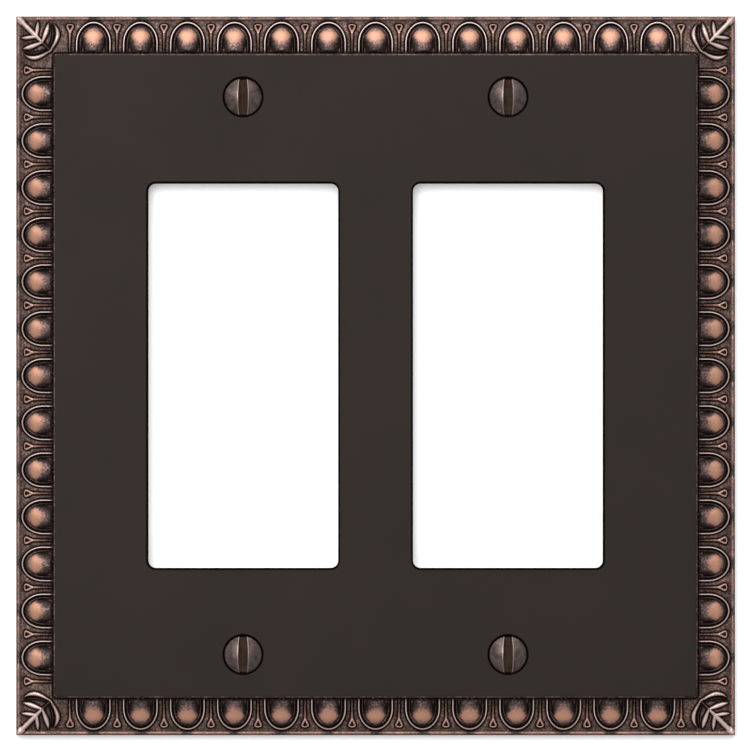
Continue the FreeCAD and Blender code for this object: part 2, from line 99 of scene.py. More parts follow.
# The spray of leaves on a corner: three pairs of leaves, a fine inner pair, and the stem in two parts. The
# knots are insets from the corner's two sides, mirrored about its diagonal. Strokes whose wear is above 1
# are painted in the pale highlight colour, which is a painted highlight.
CORNER_STROKES = [
    {"rise": 0.7, "rub": 1.8, "knots": [(3.62, 3.25, 0.22), (3.66, 2.5, 0.33), (3.74, 1.8, 0.31),
                                        (3.78, 1.2, 0.16), (3.79, 0.95, 0.05)]},
    {"rise": 0.7, "rub": 1.6, "knots": [(4.66, 4.4, 0.2), (4.98, 3.5, 0.36), (5.3, 2.6, 0.42),
                                        (5.52, 1.8, 0.28), (5.64, 1.25, 0.07)]},
    {"rise": 0.7, "rub": 1.6, "knots": [(6.05, 6.1, 0.14), (6.45, 5.35, 0.2), (6.95, 4.4, 0.3),
                                        (7.25, 3.3, 0.37), (7.12, 2.3, 0.25), (6.7, 1.5, 0.05)]},
    {"rise": 0.3, "rub": 0.35, "knots": [(5.9, 5.1, 0.06), (6.25, 4.2, 0.1), (6.42, 3.2, 0.12),
                                         (6.38, 2.3, 0.1), (6.18, 1.6, 0.04)]},
    {"rise": 0.74, "rub": 2.0, "knots": [(0.4, 0.4, 0.34), (1.2, 1.2, 0.41), (2.6, 2.6, 0.42),
                                         (3.6, 3.6, 0.36), (4.3, 4.3, 0.26)]},
    {"rise": 0.36, "rub": 0.4, "knots": [(4.2, 4.2, 0.22), (4.8, 4.8, 0.18), (5.5, 5.5, 0.14),
                                         (6.15, 6.15, 0.12)]},
]

# The field's corner and openings, its screw holes, and the back of the casting.
FIELD_CORNER = 7.1
OPENING_HALF = (16.5, 33.4)
OPENING_CORNER, OPENING_ROUND = 1.3, 0.3
OPENING_MARGIN = OPENING_ROUND + 0.07
COUNTERSINK = [(3.7, 5.2), (3.61, 5.2), (3.55, 5.19), (3.5, 5.16), (3.44, 5.1), (2.0, 3.474)]
HOLE_RADIUS = 2.0
OUTER_EDGE = 1.9
RIM, ROOF_INSET, ROOF = 1.9, 6.7, 3.2
BOSS_RADIUS, BOSS_END = 4.5, 0.7
COLLAR, COLLAR_END, COLLAR_CORNER = 1.4, 1.9, 0.4

# A screw, as (radius, distance from the head's front edge towards the tip).
HEAD_RADIUS, HEAD_EDGE, CROWN = 3.2, 0.14, 1.15
NECK_RADIUS, NECK_TOP, NECK_END = 1.5, 2.096, 4.17
THREAD_RADIUS, THREAD_ROOT, THREAD_PITCH = 1.75, 1.27, 0.794
SCREW_LENGTH, SCREW_POINT = 15.875, 0.5
SLOT_FLOOR, SLOT_MOUTH, SLOT_DEPTH = 1.1, 1.8, 1.5

# Mesh sizes: along the border's straight lines, over its slope, and the angle past which an edge is sharp.
STEP, SLOPE_STEP, CORNER_STEP = 0.43, 0.42, 0.3
SHARP, THREAD_SHARP = 38, 30

# Texture scales, in noise cells per metre.
GRAIN, FLECK, PATCH = 6000.0, 2600.0, 520.0


# ---------------------------------------------------------------- meshes

class Skin:
    """A surface in millimetres. Its points are marked with their wear, which above 1 stands for a painted
    highlight, with their crevice darkening (dark patina and painted shade), and with how far onto the
    unfinished back they lie ("behind")."""

    def __init__(self):
        self.points, self.faces, self.marks, self.count = [], [], [], 0

    def add(self, points, faces, rub=0.0, crevice=0.0, behind=0.0):
        points = np.asarray(points, float)
        marks = np.zeros((len(points), 3))
        marks[:, 0], marks[:, 1], marks[:, 2] = rub, crevice, behind
        self.points.append(points)
        self.marks.append(marks)
        self.faces.extend(tuple(int(i) + self.count for i in face) for face in faces)
        self.count += len(points)

    def bridge(self, first, second, **marks):
        """Quads between two closed loops of the same number of points."""
        n = len(first)
        faces = [(i, (i + 1) % n, n + (i + 1) % n, n + i) for i in range(n)]
        self.add(np.vstack([first, second]), faces, **marks)

    def make(self, name, sharp_angle):
        """The mesh object, welded, with each weld's strongest marks, and smooth except across sharp edges."""
        mesh = bpy.data.meshes.new(name)
        points, marks = np.vstack(self.points), np.vstack(self.marks)
        place = np.unique(np.round(points, 3), axis=0, return_inverse=True)[1].ravel()
        strongest = np.zeros((place.max() + 1, 3))
        np.maximum.at(strongest, place, marks)
        values = strongest[place].astype(np.float32)
        mesh.from_pydata((points * MM).tolist(), [], self.faces)
        for column, label in enumerate(("rub", "crevice", "behind")):
            mesh.attributes.new(label, "FLOAT", "POINT").data.foreach_set("value", values[:, column].copy())
        shape = bmesh.new()
        shape.from_mesh(mesh)
        bmesh.ops.remove_doubles(shape, verts=shape.verts, dist=0.002 * MM)
        bmesh.ops.dissolve_degenerate(shape, edges=shape.edges, dist=0.001 * MM)
        bmesh.ops.recalc_face_normals(shape, faces=shape.faces)
        shape.to_mesh(mesh)
        shape.free()
        mesh.polygons.foreach_set("use_smooth", [True] * len(mesh.polygons))
        mesh.set_sharp_from_angle(angle=math.radians(sharp_angle))
        piece = bpy.data.objects.new(name, mesh)
        bpy.context.scene.collection.objects.link(piece)
        return piece


def lift(plan, height):
    """Points of the shared frame from plan points and heights above the wall."""
    plan = np.asarray(plan, float)
    return np.c_[plan[:, 0], -np.broadcast_to(height, len(plan)), plan[:, 1]]


def triangles(plan, loops=(), keep=None):
    """Delaunay triangles of plan points, with closed loops as edges. Keep picks by the triangles' middles."""
    plan, edges = [np.asarray(plan, float).reshape(-1, 2)], []
    count = len(plan[0])
    for loop in loops:
        edges += [(count + i, count + (i + 1) % len(loop)) for i in range(len(loop))]
        plan.append(np.asarray(loop, float))
        count += len(loop)
    found, _, faces, _, _, _ = delaunay_2d_cdt([Vector(p) for p in np.vstack(plan)], edges, [], 0, 1e-6)
    points = np.array([tuple(p) for p in found])
    if keep is not None:
        middles = np.array([points[list(face)].mean(axis=0) for face in faces])
        faces = [face for face, good in zip(faces, keep(middles)) if good]
    return points, faces


def smooth_path(knots, steps):
    """Knots joined by a Catmull-Rom curve."""
    knots = np.asarray(knots, float)
    knots = np.vstack([2 * knots[0] - knots[1], knots, 2 * knots[-1] - knots[-2]])
    place = np.linspace(0, len(knots) - 3, steps)
    i = np.minimum(place.astype(int), len(knots) - 4)
    f = (place - i)[:, None]
    a, b, c, d = (knots[i + k] for k in range(4))
    square, cube = 2 * a - 5 * b + 4 * c - d, 3 * b - a - 3 * c + d
    return 0.5 * (2 * b + (c - a) * f + square * f ** 2 + cube * f ** 3)


def beyond(plan, path):
    """How far plan points lie outside a stroke, and the stroke's half-width beside each."""
    away = plan[:, None, :] - path[None, :, :2]
    gap = np.hypot(away[:, :, 0], away[:, :, 1]) - path[None, :, 2]
    nearest = gap.argmin(axis=1)
    return gap[np.arange(len(plan)), nearest], path[nearest, 2]


def ramp(value, *steps):
    """Linear between (value, result) steps."""
    return np.interp(value, [s[0] for s in steps], [s[1] for s in steps])


# ---------------------------------------------------------------- the border

def stroke_relief(plan, path, rise):
    """Height, wear and crevice darkening of one raised stroke."""
    out, width = beyond(plan, path)
    across = np.clip(1 + out / width, 0, 1)
    height = rise * (1 - across ** 2) ** 0.6
    groove = ramp(out, (0.0, 0.0), (0.07, -0.1), (0.16, -0.06), (0.28, 0.0))
    rub = ramp(across, (0.0, 1.0), (0.7, 1.0), (0.97, 0.25), (1.0, 0.0)) * (out < 0)
    crevice = ramp(out, (-0.04, 0.0), (0.03, 1.0), (0.14, 0.7), (0.34, 0.0))
    return np.where(out < 0, height, 0.0), groove, rub, crevice


def egg_height(along, inset):
    """Height of the egg's surface, or a low number where there is none."""
    slope = math.atan(SLOPE_RATE)
    sine, cosine = math.sin(slope), math.cos(slope)
    long, round_ = 1 / EGG_HALF_LENGTH ** 2, 1 / EGG_RADIUS ** 2
    off = inset - EGG_INSET
    a = sine ** 2 * long + cosine ** 2 * round_
    b = 2 * off * sine * cosine * (long - round_)
    c = off ** 2 * (cosine ** 2 * long + sine ** 2 * round_) + along ** 2 * round_ - 1
    inside = b * b - 4 * a * c
    axis = SLOPE_FOOT + (EGG_INSET - SLOPE_START) * SLOPE_RATE - EGG_RADIUS + EGG_RISE
    return np.where(inside > 0, axis + (np.sqrt(np.maximum(inside, 0)) - b) / (2 * a), -1.0)


def arch_place(along, inset):
    """Half-width, where it springs, of the arch-shaped curve through a point."""
    low, high = np.full(len(along), 1e-3), np.full(len(along), 9.0)
    deep = np.maximum(SPRING - inset, 0)
    for _ in range(32):
        middle = (low + high) / 2
        outside = (along / middle) ** 2 + (deep / (middle + ARCH_LONGER)) ** 2 > 1
        low, high = np.where(outside, middle, low), np.where(outside, high, middle)
    return high


def border_base(inset):
    """Height, wear and crevice darkening of the plain border: rubbed lip, mottled slope and dark groove, with a
    pale line on the field's rounded edge that is a painted highlight.
    """
    height = ramp(inset, *LIP, *FIELD_EDGE)
    rub = ramp(inset, (0.0, 0.2), (0.12, 0.33), (0.3, 0.54), (0.6, 0.54), (0.72, 0.38), (1.2, 0.37),
               (2.0, 0.46), (4.0, 0.47), (6.2, 0.42), (6.36, 0.1), (6.54, 0.1), (6.62, 0.4), (6.8, 0.4),
               (6.87, 0.0))
    crevice = ramp(inset, (0.6, 0.0), (0.75, 0.5), (0.88, 0.3), (1.2, 0.0), (6.26, 0.0), (6.4, 0.75),
                   (6.52, 0.75), (6.58, 0.0))
    return height, rub, crevice


def combine(base, reliefs, fade):
    """Adds reliefs to the base: the highest wins, and grooves show only where nothing stands."""
    height, rub, crevice = base
    rises, grooves, rubs, crevices = (np.array(values) for values in zip(*reliefs))
    top, dark = rises.max(axis=0), crevices.max(axis=0)
    highest = rises.argmax(axis=0), np.arange(len(top))
    standing = top > 0
    height = height + fade * np.where(standing, top, grooves.min(axis=0))
    rub = np.where(standing, rub * (1 - fade) + rubs[highest] * fade, rub * (1 - dark * fade))
    crevice = np.where(standing, crevice * (1 - fade) + crevices[highest] * fade,
                       np.maximum(crevice, dark * fade))
    return height, rub, crevice


def dart_relief(aside, inset):
    """The dart's relief, from the distance to its middle line."""
    plan = np.c_[np.abs(aside), inset]
    # Towards the dart's head its wear is raised above 1, which paints a pale highlight there.
    fading = ramp(inset, (1.4, 1.3), (2.8, 1.4), (3.4, 1.2), (4.4, 0.8), (5.2, 0.6), (6.3, 0.45))
    reliefs = []
    for knots in (DART_STEM, DART_RING):
        height, groove, rub, crevice = stroke_relief(plan, smooth_path(knots, 60), DART_RISE)
        reliefs.append((height, groove, rub * fading, crevice))
    dimple = np.clip(1 - np.hypot(aside, inset - DIMPLE_INSET) / DIMPLE_RADIUS, 0, 1)
    reliefs.append((0 * dimple, -DIMPLE_DEPTH * dimple, 0 * dimple, 0.5 * np.minimum(2 * dimple, 1)))
    return reliefs


def motif(along, inset):
    """Height, wear with painted highlights, and crevice darkening of one egg in its arch, with a notch in the
    lip and half a dart at either end.
    """
    height, rub, crevice = border_base(inset)
    # The notch is also painted duller and darker: patina and painted shade where the arch meets the lip.
    notch = np.clip(1 - (along / NOTCH_HALF_WIDTH) ** 2, 0, 1) * (inset < SLOPE_START)
    height = height - NOTCH_DEPTH * notch * ramp(inset, (0.0, 0.0), (0.08, 0.4), (0.4, 1.0), (0.8, 0.0))
    rub = rub * (1 - NOTCH_DULL * notch)
    crevice = np.maximum(crevice, NOTCH_DARK * notch)
    place = arch_place(along, inset)
    rise = ramp(place, *ARCH)
    inward = ramp(inset, (1.0, 1.0), (6.3, 0.75))
    leg_dark = ramp(inset, (1.6, 0.0), (3.2, 0.3), (4.6, 0.5), (6.2, 0.68))
    # The arch's crest is painted in the palest colour, a painted highlight; the thin rib inside it is rubbed.
    # The dark bands in the grooves beside them are patina and painted shade.
    arch_rub = inward * ramp(place, (2.2, 0.0), (2.26, 0.5), (2.34, 0.5), (2.4, 0.0), (2.76, 0.0),
                             (2.82, 1.8), (2.96, 1.8), (3.03, 0.0))
    arch_dark = ramp(place, (1.9, 0.0), (2.0, 0.7), (2.1, 0.7), (2.2, 0.2), (2.34, 0.2), (2.46, 0.75),
                     (2.64, 0.85), (2.74, 0.0), (3.04, 0.0), (3.12, 0.85), (3.3, 0.4), (3.5, 0.0))
    arch_dark = arch_dark * ramp(inset, (0.6, 0.15), (0.8, 1.0))
    arch_dark = np.maximum(arch_dark, leg_dark * (rise > 0))
    arch = (np.maximum(rise, 0), np.minimum(rise, 0), arch_rub, arch_dark)
    swell = np.maximum(egg_height(along, inset) - height, 0)
    # The egg is rubbed bright on its outer part. Near the middle of that patch the wear rises above 1, which
    # paints a pale highlight there. The dark rim round the egg is patina and painted shade.
    outward = ramp(inset, (1.9, 0.35), (2.15, 0.48), (2.5, 0.56), (2.75, 0.66), (3.0, 0.95), (3.25, 1.2),
                   (3.5, 1.12), (3.75, 0.92), (4.0, 0.74), (4.5, 0.55), (5.0, 0.45), (5.5, 0.36), (6.2, 0.28))
    sideways = ramp(np.abs(along), (0.0, 1.0), (0.65, 1.0), (1.05, 0.85), (1.4, 0.6), (1.75, 0.35))
    egg_dark = ramp(place / EGG_OUTLINE, (0.92, 0.0), (1.0, 0.5)) * (swell > 0)
    egg = (swell, 0 * swell, outward * sideways, egg_dark)
    darts = dart_relief(PITCH / 2 - np.abs(along), inset)
    return combine((height, rub, crevice), [arch, egg] + darts, ramp(inset, *RELIEF_END))


def corner(first, second):
    """The same for a corner, from the insets from its two sides: leaves, and half a dart at each end.

    The field's edge is rounded at the corner, so near it the inset is measured to the rounded line.
    """
    along, inset = np.maximum(first, second), np.minimum(first, second)
    short = np.maximum(FIELD_CORNER - np.array([along, inset]), 0)
    rounded = FIELD_CORNER - np.hypot(*short)
    inset_round = inset + (rounded - inset) * ramp(inset, (6.15, 0.0), (6.5, 1.0)) * (along < FIELD_CORNER)
    plan = np.c_[along, inset]
    reliefs = []
    for stroke in CORNER_STROKES:
        height, groove, rub, crevice = stroke_relief(plan, smooth_path(stroke["knots"], 70), stroke["rise"])
        near_lip = ramp(inset, (0.0, 0.0), (0.12, 0.5), (0.6, 1.0))
        reliefs.append((height * near_lip, groove * near_lip, rub * stroke["rub"], crevice * near_lip))
    height, rub, crevice = border_base(inset_round)
    rub = rub * ramp(inset, (0.7, 1.0), (1.2, 0.85), (5.5, 0.85), (6.3, 1.0))
    reliefs += dart_relief(CORNER - along, inset)
    return combine((height, rub, crevice), reliefs, ramp(inset_round, *RELIEF_END))


def side_insets():
    """Insets at which the border is cut along a dart's middle line."""
    finer = [1.02, 1.15, 1.26, 1.34, 1.41, 1.5, 1.58, 1.66, 1.8, 1.95, 2.1, 2.25, 2.4, 2.55, 2.7, 2.82,
             2.95, 3.15, 3.5, 3.9, 4.3, 4.7, 5.1, 5.5, 5.85, 6.15, 6.28]
    return [p[0] for p in LIP] + finer + [p[0] for p in FIELD_EDGE]


def stroke_points(knots, steps):
    """Points for the mesh along a stroke: its middle, its flanks, its foot and the groove beside it."""
    path = smooth_path(knots, steps)
    ahead = np.gradient(path[:, :2], axis=0)
    aside = np.c_[-ahead[:, 1], ahead[:, 0]] / np.linalg.norm(ahead, axis=1)[:, None]
    rows = [path[:, :2]]
    for side in (-1, 1):
        for share, extra in ((0.5, 0), (0.85, 0), (1.0, 0.0), (1.0, 0.08), (1.0, 0.28)):
            rows.append(path[:, :2] + side * aside * (path[:, 2:] * share + extra))
    return np.vstack(rows)


def fill_points(width, step):
    """A triangular grid over the slope."""
    rows = []
    for k, inset in enumerate(np.arange(SLOPE_START + 0.25, SLOPE_END - 0.2, step * 0.87)):
        along = np.arange((k % 2) * step / 2, width, step)
        rows.append(np.c_[along, np.full(len(along), inset)])
    return np.vstack(rows)


def motif_mesh():
    """Points and triangles of one egg's length of the border."""
    half = PITCH / 2
    along = np.linspace(-half, half, round(PITCH / STEP) + 1)
    points = [np.c_[along, np.full(len(along), inset)] for inset, _ in LIP + FIELD_EDGE]
    ends = np.array(side_insets())
    points += [np.c_[np.full(len(ends), side * half), ends] for side in (-1, 1)]
    inner = []
    legs = np.linspace(SPRING, SLOPE_END, 5)[1:]
    arches = [(EGG_OUTLINE * share, count) for share, count in
              ((0.18, 7), (0.38, 11), (0.56, 15), (0.72, 19), (0.85, 23), (0.94, 27), (0.99, 33))]
    arches += [(width, 33) for width in (2.07, 2.16, 2.26, 2.34, 2.43, 2.55, 2.67, 2.76, 2.85, 2.95, 3.04,
                                         3.12, 3.24, 3.42)]
    for width, count in arches:
        turn = np.linspace(-math.pi / 2, math.pi / 2, count)
        inner.append(np.c_[width * np.sin(turn), SPRING - (width + ARCH_LONGER) * np.cos(turn)])
        for side in (-1, 1):
            inner.append(np.c_[np.full(len(legs), side * width), legs])
    for side in (-1, 1):
        for knots, steps in ((DART_STEM, 9), (DART_RING, 12)):
            dart = stroke_points(knots, steps)
            inner.append(np.c_[side * (half - dart[:, 0]), dart[:, 1]])
    fill = fill_points(half, SLOPE_STEP)
    fill = np.vstack([fill * [side, 1] for side in (-1, 1)])
    dart_half_width = 0.75
    clear = arch_place(fill[:, 0], fill[:, 1]) > ARCH_END
    clear &= half - np.abs(fill[:, 0]) > dart_half_width
    inner.append(fill[clear])
    inner = np.vstack(inner)
    inside = (np.abs(inner[:, 0]) < half - 0.04) & (inner[:, 1] > SLOPE_START + 0.05)
    inside &= inner[:, 1] < SLOPE_END - 0.02
    on_end = np.abs(inner[:, 1] - SLOPE_END) < 1e-6
    return triangles(np.vstack(points + [inner[inside | on_end]]))


def corner_mesh():
    """Points and triangles of one corner, as insets from its two sides."""
    rows = []
    for inset, _ in LIP + FIELD_EDGE:
        along = np.linspace(inset, CORNER, max(2, round((CORNER - inset) / STEP) + 1))
        rows.append(np.c_[along, np.full(len(along), inset)])
    outer = np.linspace(0, CORNER, round(CORNER / STEP) + 1)
    rows[0] = np.c_[outer, np.zeros(len(outer))]
    ends = np.array(side_insets())
    rows.append(np.c_[np.full(len(ends), CORNER), ends])
    inner = [stroke_points(stroke["knots"], 26) for stroke in CORNER_STROKES]
    for knots in (DART_STEM, DART_RING):
        dart = stroke_points(knots, 14)
        inner.append(np.c_[CORNER - dart[:, 0], dart[:, 1]])
    inner.append(fill_points(CORNER, CORNER_STEP))
    mitre = np.arange(SLOPE_START, SLOPE_END, 0.12)
    inner.append(np.c_[mitre, mitre])
    rounding_start, rounding_end = 6.2, 7.0
    fine = np.arange(rounding_start, rounding_end, 0.07)
    inner.append(np.array([(a, b) for a in fine for b in fine]))
    inner = np.vstack(inner)
    inside = (inner[:, 0] < CORNER - 0.04) & (inner[:, 1] > SLOPE_START + 0.04)
    inside &= inner[:, 1] <= inner[:, 0] + 1e-9
    inside &= (inner[:, 1] < SLOPE_END - 0.03) | (inner[:, 0] < rounding_end)
    half = np.vstack(rows + [inner[inside]])
    both = np.vstack([half, half[:, ::-1][half[:, 0] > half[:, 1] + 1e-9]])
    return triangles(both, keep=lambda middle: middle.min(axis=1) < SIDE_LINE)


def turned(points, quarters):
    """Turns points of the shared frame about the plate's middle by quarter turns."""
    for _ in range(quarters):
        points = np.c_[-points[:, 2], points[:, 1], points[:, 0]]
    return points


def build_border(skin):
    """Thirteen motifs a side and four corners. Returns the outer and the inner outline, in plan."""
    plan, faces = motif_mesh()
    height, rub, crevice = motif(plan[:, 0], plan[:, 1])
    for side in range(4):
        for k in range(EGGS):
            middle = (k - (EGGS - 1) / 2) * PITCH
            points = lift(np.c_[middle + plan[:, 0], HALF - plan[:, 1]], height)
            skin.add(turned(points, side), faces, rub, crevice)
    plan, faces = corner_mesh()
    height, rub, crevice = corner(plan[:, 0], plan[:, 1])
    for side in range(4):
        skin.add(turned(lift(HALF - plan, height), side), faces, rub, crevice)
    outlines = []
    for inset in (0.0, SIDE_LINE):
        near = HALF - CORNER
        piece = np.linspace(-PITCH / 2, PITCH / 2, round(PITCH / STEP) + 1)[:-1]
        straight = np.concatenate([(k - (EGGS - 1) / 2) * PITCH + piece for k in range(EGGS)])
        bend = np.linspace(inset, CORNER, round((CORNER - inset) / STEP) + 1)
        after = HALF - bend[::-1]
        before = -after[::-1]
        row = np.concatenate([before[:-1], straight, [near], after[1:-1]])
        line = lift(np.c_[row, np.full(len(row), HALF - inset)], 0.0)
        outlines.append(np.vstack([turned(line, side)[::-1, [0, 2]] for side in range(4)]))
    return outlines


# ---------------------------------------------------------------- the field and the back

def ring(centre, radius, count=56):
    """A circle in plan."""
    turn = np.linspace(0, 2 * math.pi, count, endpoint=False)
    return np.c_[centre[0] + radius * np.cos(turn), centre[1] + radius * np.sin(turn)]


def round_box(centre, half, radius, steps=9, along=10):
    """A rectangle with round corners in plan, anticlockwise."""
    points = []
    for quarter, (sx, sz) in enumerate(((1, 1), (-1, 1), (-1, -1), (1, -1))):
        turn = math.radians(90 * quarter) + np.linspace(0, math.pi / 2, steps)
        middle = (centre[0] + sx * (half[0] - radius), centre[1] + sz * (half[1] - radius))
        points.append(np.c_[middle[0] + radius * np.cos(turn), middle[1] + radius * np.sin(turn)])
    loop = []
    for k, arc in enumerate(points):
        loop.append(arc)
        following = points[(k + 1) % 4][0]
        share = np.linspace(0, 1, along + 1)[1:-1, None]
        loop.append(arc[-1] + (following - arc[-1]) * share)
    return np.vstack(loop)


def opening(centre, grow=0.0, radius=None):
    """An opening's outline, grown."""
    half = (OPENING_HALF[0] + grow, OPENING_HALF[1] + grow)
    return round_box(centre, half, OPENING_CORNER + grow if radius is None else radius)


def outside(plan, openings, opening_grow, hole_radius):
    """Which plan points lie outside every opening and every screw hole."""
    clear = np.ones(len(plan), bool)
    for centre in openings:
        clear &= ((np.abs(plan[:, 0] - centre[0]) > OPENING_HALF[0] + opening_grow)
                  | (np.abs(plan[:, 1] - centre[1]) > OPENING_HALF[1] + opening_grow))
    for centre in SCREWS.values():
        clear &= np.hypot(plan[:, 0] - centre[0], plan[:, 1] - centre[1]) > hole_radius
    return clear


def build_field(skin, outline, openings):
    """The flat field between the border, the openings and the screw holes, with the holes' walls."""
    loops = [outline] + [opening(c, OPENING_MARGIN) for c in openings]
    loops += [ring(c, COUNTERSINK[0][0]) for c in SCREWS.values()]
    corner_radius = OPENING_CORNER + OPENING_MARGIN

    def keep(middle):
        """Clear of the holes, and beyond the rounding where the middle is near an opening's corner."""
        clear = outside(middle, openings, OPENING_MARGIN, COUNTERSINK[0][0])
        for centre in openings:
            off = np.abs(middle - centre) - (np.array(OPENING_HALF) - OPENING_CORNER)
            reach = np.hypot(off[:, 0], off[:, 1])
            near_corner = (off > 0).all(axis=1) & (reach < corner_radius + 0.3)
            clear = np.where(near_corner, reach > corner_radius * math.cos(math.pi / 32), clear)
        return clear

    plan, faces = triangles([], loops, keep)
    skin.add(lift(plan, FIELD), faces)
    for centre in openings:
        rows = [(OPENING_MARGIN, FIELD, 0.0)]
        for turn in np.radians(np.linspace(0, 90, 6)):
            reach = OPENING_ROUND * (1 - math.sin(turn))
            rows.append((reach, FIELD - OPENING_ROUND * (1 - math.cos(turn)), 0.0))
        rows += [(0.0, FIELD - OPENING_ROUND - 0.12, 0.0), (0.0, COLLAR_END + 0.4, 0.6),
                 (0.0, COLLAR_END, 1.0)]
        # The opening's rounded edge and inner wall are painted near black: painted shade.
        for (grow, height, _), (grow2, height2, behind) in zip(rows, rows[1:]):
            skin.bridge(lift(opening(centre, grow), height), lift(opening(centre, grow2), height2),
                        behind=behind, crevice=0.0 if height2 in (FIELD, COLLAR_END) else 1.0)
    for centre in SCREWS.values():
        # The countersink's cone below its rounded lip and the hole's wall are painted dark: painted shade.
        for (radius, height), (radius2, height2) in zip(COUNTERSINK, COUNTERSINK[1:]):
            skin.bridge(lift(ring(centre, radius), height), lift(ring(centre, radius2), height2),
                        crevice=0.0 if radius2 > COUNTERSINK[3][0] else 1.0)
        hole = ring(centre, HOLE_RADIUS)
        skin.bridge(lift(hole, COUNTERSINK[-1][1]), lift(hole, BOSS_END), crevice=0.8, behind=1.0)


def build_back(skin, outline, openings):
    """The outer wall, the rim, the hollow's flanks and roof, the bosses and the collars."""
    skin.bridge(lift(outline, LIP[0][1]), lift(outline, OUTER_EDGE), rub=0.35)
    skin.bridge(lift(outline, OUTER_EDGE), lift(outline, 0.0), rub=0.12, behind=0.5)
    inner, roof = HALF - RIM, HALF - ROOF_INSET
    square = np.array([(1, 1), (-1, 1), (-1, -1), (1, -1)])
    plan, faces = triangles([], [outline, square * inner], lambda m: np.abs(m).max(axis=1) > inner)
    skin.add(lift(plan, 0.0), faces, behind=1.0)
    skin.bridge(lift(square * inner, 0.0), lift(square * roof, ROOF), behind=1.0)
    loops = [square * roof] + [opening(c, COLLAR, COLLAR_CORNER) for c in openings]
    loops += [ring(c, BOSS_RADIUS) for c in SCREWS.values()]
    plan, faces = triangles([], loops, lambda m: outside(m, openings, COLLAR, BOSS_RADIUS))
    skin.add(lift(plan, ROOF), faces, behind=1.0)
    for centre in SCREWS.values():
        boss, hole = ring(centre, BOSS_RADIUS), ring(centre, HOLE_RADIUS)
        skin.bridge(lift(boss, ROOF), lift(boss, BOSS_END), behind=1.0)
        skin.bridge(lift(boss, BOSS_END), lift(hole, BOSS_END), behind=1.0)
    for centre in openings:
        outer = opening(centre, COLLAR, COLLAR_CORNER)
        skin.bridge(lift(outer, ROOF), lift(outer, COLLAR_END), behind=1.0)
        skin.bridge(lift(outer, COLLAR_END), lift(opening(centre), COLLAR_END), behind=1.0)


def build_cover():
    """The casting in one piece."""
    skin = Skin()
    outer, inner = build_border(skin)
    build_field(skin, inner, OPENINGS)
    build_back(skin, outer, OPENINGS)
    return skin.make("cover_casting", SHARP)


# ---------------------------------------------------------------- the screws

def revolve(skin, profile, count):
    """Turns (radius, distance from the head's edge) about the screw's axis. Ends on the axis are closed."""
    turn = np.linspace(0, 2 * math.pi, count, endpoint=False)
    rows = [np.c_[radius * np.sin(turn), np.full(count, y), radius * np.cos(turn)] for radius, y in profile]
    for first, second in zip(rows, rows[1:]):
        skin.bridge(first, second)


def head_blank():
    """The head and the neck, closed, before the slot is cut."""
    skin = Skin()
    curve = (HEAD_RADIUS ** 2 + CROWN ** 2) / (2 * CROWN)
    limit = math.asin(HEAD_RADIUS / curve)
    profile = []
    for share in np.linspace(0, 1, 15):
        turn = limit * share
        profile.append((curve * math.sin(turn), -CROWN + curve * (1 - math.cos(turn))))
    profile[-1] = (HEAD_RADIUS - 0.05, -0.04)
    profile += [(HEAD_RADIUS, 0.02), (HEAD_RADIUS, HEAD_EDGE), (NECK_RADIUS, NECK_TOP),
                (NECK_RADIUS, NECK_END), (0.0, NECK_END)]
    revolve(skin, profile, 72)
    return skin.make("head", SHARP)


def thread_grid():
    """The thread, a grid sheared along its helix, with its lead-in and its point."""
    skin = Skin()
    around, ridge = 36, [0.0, 0.0, 0.42, 0.85, 1.0, 1.0, 0.58, 0.15]
    per_pitch = len(ridge)
    start, tip = NECK_END, SCREW_LENGTH
    count = int((tip - start) / THREAD_PITCH * per_pitch) + per_pitch + 2
    angle = np.linspace(0, 2 * math.pi, around, endpoint=False)
    rows = []
    for k in range(-per_pitch, count):
        y = start + (k / per_pitch + angle / (2 * math.pi)) * THREAD_PITCH
        out = THREAD_ROOT + (THREAD_RADIUS - THREAD_ROOT) * ridge[k % per_pitch]
        held = np.clip(y, start, tip)
        lead = NECK_RADIUS + np.maximum(held - start, 0)
        point = THREAD_RADIUS - SCREW_POINT + (tip - held)
        radius = np.where(held > start, np.minimum(np.minimum(out, point), lead), THREAD_ROOT)
        rows.append(np.c_[radius * np.sin(angle), held, radius * np.cos(angle)])
    points, faces = np.vstack(rows), []
    for k in range(len(rows) - 1):
        for i in range(around):
            after = k + per_pitch if i == around - 1 else k
            if after + 1 >= len(rows):
                continue
            j = (i + 1) % around
            faces.append((k * around + i, after * around + j, (after + 1) * around + j, (k + 1) * around + i))
    for row, y in ((0, start), (len(rows) - 1, tip)):
        faces += [(row * around + i, row * around + (i + 1) % around, len(points)) for i in range(around)]
        points = np.vstack([points, (0.0, y, 0.0)])
    skin.add(points, faces, rub=0.45)
    return skin.make("thread", THREAD_SHARP)


def slot_half(y):
    """Half the slot's width at a distance from the head's edge: its walls lean out to the mouth."""
    return (SLOT_FLOOR + (SLOT_MOUTH - SLOT_FLOOR) * (SLOT_DEPTH - CROWN - y) / SLOT_DEPTH) / 2


